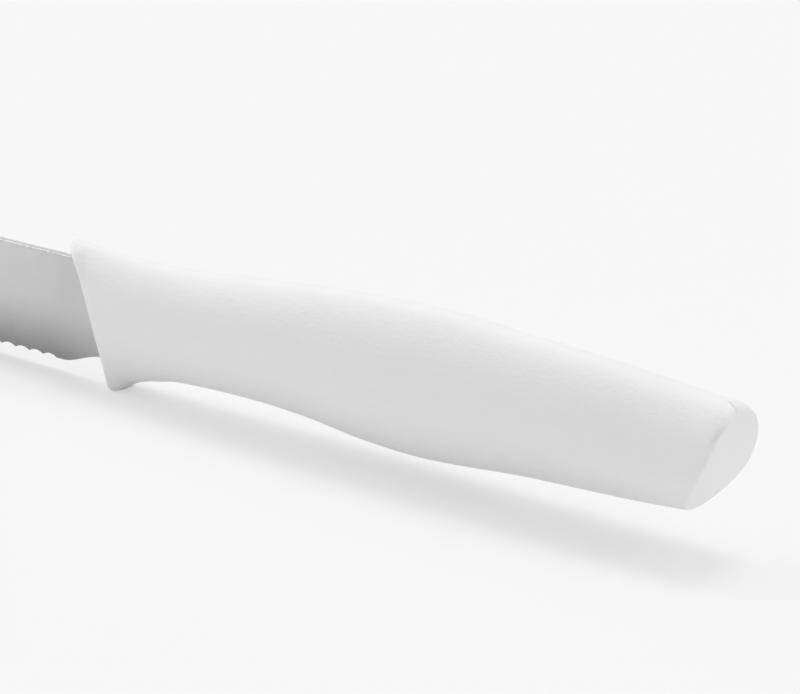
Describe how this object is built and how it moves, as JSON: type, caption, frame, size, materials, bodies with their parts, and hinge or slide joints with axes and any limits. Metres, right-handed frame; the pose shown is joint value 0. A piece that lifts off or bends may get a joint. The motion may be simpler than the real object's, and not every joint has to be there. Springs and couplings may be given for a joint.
{
  "type": "serrated table knife",
  "caption": "Table knife with a thin round-tipped blade, fine scalloped serrations, and a white waisted plastic handle with a raked finger guard and a slanted butt.",
  "frame": {"origin": "below the middle of the overall length, on the plane of symmetry of the outline, level with the lowest point of the finger guard", "axes": "+X from the blade's tip to the handle's butt, +Z from the cutting edge to the spine, -Y out of the blade's left side, which faces the camera in the picture"},
  "size_m": [0.216, 0.0114, 0.0212],
  "materials": {
    "blade_steel": "fine satin stainless steel",
    "handle_plastic": "white moulded plastic with a fine matte grain, smooth on the butt face"
  },
  "bodies": {
    "root": {"blade": "blade_steel", "handle": "handle_plastic"}
  },
  "joints": []
}
